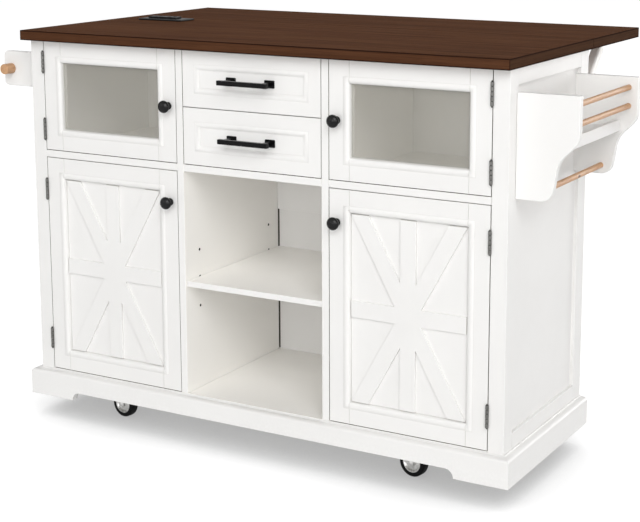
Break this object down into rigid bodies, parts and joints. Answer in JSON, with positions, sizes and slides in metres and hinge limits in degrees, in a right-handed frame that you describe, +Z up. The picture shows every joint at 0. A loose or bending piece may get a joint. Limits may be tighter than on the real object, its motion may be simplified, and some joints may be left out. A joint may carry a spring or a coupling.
{
  "type": "drop leaf kitchen island",
  "caption": "White kitchen island on casters with a dark fold-down rear leaf, glass and barn doors, drawers, an open shelf bay, a side spice rack and a towel bar.",
  "frame": {"origin": "on the floor, below the middle of the whole island with its leaf up", "axes": "+X to the right along the front, +Y from the doors to the leaf, +Z up"},
  "size_m": [1.451, 0.7712, 0.9356],
  "materials": {
    "white_paint": "satin warm white paint on board",
    "walnut_top": "dark walnut laminate with fine straight grain",
    "beech": "clear coated beech",
    "black_metal": "satin black",
    "steel": "zinc plated",
    "clear_glass": "clear float glass",
    "black_plastic": "fine matt grain",
    "tyre_rubber": "smooth hard rubber"
  },
  "bodies": {
    "cabinet": {"worktop": "walnut_top", "side_left": "white_paint", "side_right": "white_paint", "divider_left": "white_paint", "divider_right": "white_paint", "back_panel": "white_paint", "bottom_panel": "white_paint", "deck_left": "white_paint", "deck_centre": "white_paint", "deck_right": "white_paint", "centre_shelf": "white_paint", "plinth": "white_paint", "rack_panel_front": "white_paint", "rack_panel_rear": "white_paint", "rack_shelf": "white_paint", "rack_rod_upper": "beech", "rack_rod_lower": "beech", "rack_towel_rod": "beech", "towel_bracket_front": "white_paint", "towel_bracket_rear": "white_paint", "towel_bar": "beech", "power_hub_plate": "black_plastic", "power_hub_sockets": "black_plastic", "leaf_hinge_left": "steel", "leaf_hinge_right": "steel", "glass_door_left_hinges": "steel", "glass_door_right_hinges": "steel", "barn_door_left_hinges": "steel", "barn_door_right_hinges": "steel"},
    "leaf": {"drop_leaf": "walnut_top"},
    "strut_left": {"strut_left": "white_paint"},
    "strut_right": {"strut_right": "white_paint"},
    "glass_door_left": {"glass_door_left_frame": "white_paint", "glass_door_left_pane": "clear_glass", "glass_door_left_knob": "black_metal"},
    "glass_door_right": {"glass_door_right_frame": "white_paint", "glass_door_right_pane": "clear_glass", "glass_door_right_knob": "black_metal"},
    "barn_door_left": {"barn_door_left_frame": "white_paint", "barn_door_left_panel": "white_paint", "barn_door_left_knob": "black_metal"},
    "barn_door_right": {"barn_door_right_frame": "white_paint", "barn_door_right_panel": "white_paint", "barn_door_right_knob": "black_metal"},
    "drawer_upper": {"drawer_upper_front": "white_paint", "drawer_upper_box": "white_paint", "drawer_upper_pull": "black_metal"},
    "drawer_lower": {"drawer_lower_front": "white_paint", "drawer_lower_box": "white_paint", "drawer_lower_pull": "black_metal"},
    "caster_front_left": {"caster_front_left_fork": "steel"},
    "caster_front_left_wheel": {"caster_front_left_wheel": "tyre_rubber"},
    "caster_front_left_pedal": {"caster_front_left_pedal": "steel"},
    "caster_front_right": {"caster_front_right_fork": "steel"},
    "caster_front_right_wheel": {"caster_front_right_wheel": "tyre_rubber"},
    "caster_front_right_pedal": {"caster_front_right_pedal": "steel"},
    "caster_rear_left": {"caster_rear_left_fork": "steel"},
    "caster_rear_left_wheel": {"caster_rear_left_wheel": "tyre_rubber"},
    "caster_rear_right": {"caster_rear_right_fork": "steel"},
    "caster_rear_right_wheel": {"caster_rear_right_wheel": "tyre_rubber"}
  },
  "joints": [
    {"name": "leaf_fold", "type": "hinge", "parent": "cabinet", "child": "leaf", "pos_m": [-0.01, 0.08263, 0.9], "axis": [1, 0, 0], "range_deg": [-90, 0]},
    {"name": "strut_left_fold", "type": "hinge", "parent": "cabinet", "child": "strut_left", "pos_m": [-0.562, 0.06563, 0.67477], "axis": [1, 0, 0], "range_deg": [-135, 0]},
    {"name": "strut_right_fold", "type": "hinge", "parent": "cabinet", "child": "strut_right", "pos_m": [0.542, 0.06563, 0.67477], "axis": [1, 0, 0], "range_deg": [-135, 0]},
    {"name": "glass_door_left_swing", "type": "hinge", "parent": "cabinet", "child": "glass_door_left", "pos_m": [-0.57625, -0.35418, 0.77525], "axis": [0, 0, -1], "range_deg": [0, 110]},
    {"name": "glass_door_right_swing", "type": "hinge", "parent": "cabinet", "child": "glass_door_right", "pos_m": [0.55625, -0.35418, 0.77525], "axis": [0, 0, 1], "range_deg": [0, 110]},
    {"name": "barn_door_left_swing", "type": "hinge", "parent": "cabinet", "child": "barn_door_left", "pos_m": [-0.57625, -0.35418, 0.374], "axis": [0, 0, -1], "range_deg": [0, 110]},
    {"name": "barn_door_right_swing", "type": "hinge", "parent": "cabinet", "child": "barn_door_right", "pos_m": [0.55625, -0.35418, 0.374], "axis": [0, 0, 1], "range_deg": [0, 110]},
    {"name": "drawer_upper_slide", "type": "slide", "parent": "cabinet", "child": "drawer_upper", "axis": [0, -1, 0], "range_m": [0, 0.28]},
    {"name": "drawer_lower_slide", "type": "slide", "parent": "cabinet", "child": "drawer_lower", "axis": [0, -1, 0], "range_m": [0, 0.28]},
    {"name": "caster_front_left_swivel", "type": "hinge", "parent": "cabinet", "child": "caster_front_left", "pos_m": [-0.398, -0.28037, 0.085], "axis": [0, 0, 1], "continuous": true},
    {"name": "caster_front_left_roll", "type": "hinge", "parent": "caster_front_left", "child": "caster_front_left_wheel", "pos_m": [-0.42276, -0.2769, 0.0325], "axis": [-0.1392, -0.9903, 0], "continuous": true},
    {"name": "caster_front_left_brake", "type": "hinge", "parent": "caster_front_left", "child": "caster_front_left_pedal", "pos_m": [-0.43266, -0.2755, 0.058], "axis": [-0.1392, -0.9903, 0], "range_deg": [0, 7]},
    {"name": "caster_front_right_swivel", "type": "hinge", "parent": "cabinet", "child": "caster_front_right", "pos_m": [0.378, -0.28037, 0.085], "axis": [0, 0, 1], "continuous": true},
    {"name": "caster_front_right_roll", "type": "hinge", "parent": "caster_front_right", "child": "caster_front_right_wheel", "pos_m": [0.35324, -0.2769, 0.0325], "axis": [-0.1392, -0.9903, 0], "continuous": true},
    {"name": "caster_front_right_brake", "type": "hinge", "parent": "caster_front_right", "child": "caster_front_right_pedal", "pos_m": [0.34334, -0.2755, 0.058], "axis": [-0.1392, -0.9903, 0], "range_deg": [0, 7]},
    {"name": "caster_rear_left_swivel", "type": "hinge", "parent": "cabinet", "child": "caster_rear_left", "pos_m": [-0.398, -0.00038, 0.085], "axis": [0, 0, 1], "continuous": true},
    {"name": "caster_rear_left_roll", "type": "hinge", "parent": "caster_rear_left", "child": "caster_rear_left_wheel", "pos_m": [-0.42276, 0.0031, 0.0325], "axis": [-0.1392, -0.9903, 0], "continuous": true},
    {"name": "caster_rear_right_swivel", "type": "hinge", "parent": "cabinet", "child": "caster_rear_right", "pos_m": [0.378, -0.00038, 0.085], "axis": [0, 0, 1], "continuous": true},
    {"name": "caster_rear_right_roll", "type": "hinge", "parent": "caster_rear_right", "child": "caster_rear_right_wheel", "pos_m": [0.35324, 0.0031, 0.0325], "axis": [-0.1392, -0.9903, 0], "continuous": true}
  ],
  "couplings": [
    {"joint": "strut_left_fold", "follows": "leaf_fold", "ratio": 1.5},
    {"joint": "strut_right_fold", "follows": "leaf_fold", "ratio": 1.5}
  ]
}
